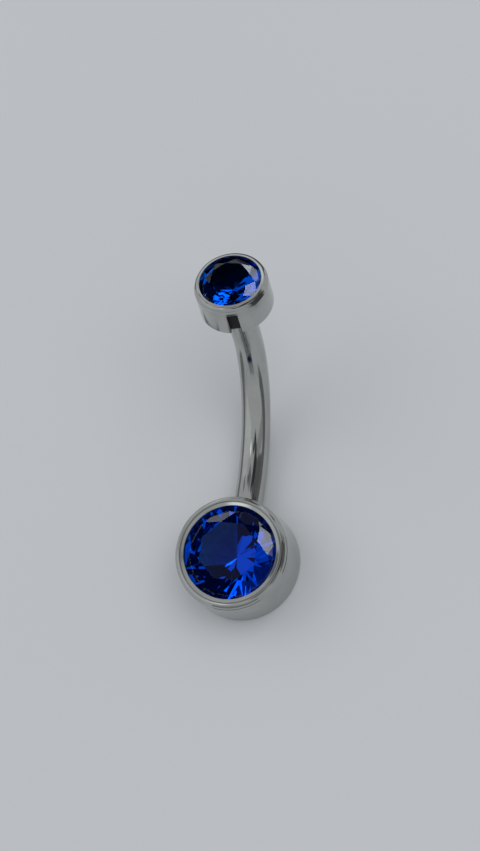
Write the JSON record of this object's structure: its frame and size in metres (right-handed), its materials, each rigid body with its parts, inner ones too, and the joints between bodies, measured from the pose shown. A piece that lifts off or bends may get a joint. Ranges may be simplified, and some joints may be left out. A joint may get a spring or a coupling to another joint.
{
  "type": "navel ring",
  "caption": "Curved bar with a stone-set cup soldered to its lower end and a smaller stone-set cup on a hidden post at its top end.",
  "frame": {"origin": "middle of the lower cup's flat back, on the surface that the ring lies on", "axes": "+Z along the lower cup's axis towards its stone, +Y from the lower cup towards the bar's root, X square to the plane in which the bar bends"},
  "size_m": [0.0064, 0.0186, 0.0107],
  "materials": {
    "titanium": "polished titanium",
    "blue_stone": "polished sapphire-blue stone"
  },
  "bodies": {
    "root": {"bar_with_lower_cup": "titanium", "lower_stone": "blue_stone", "top_cup": "titanium", "top_stone": "blue_stone"}
  },
  "joints": []
}
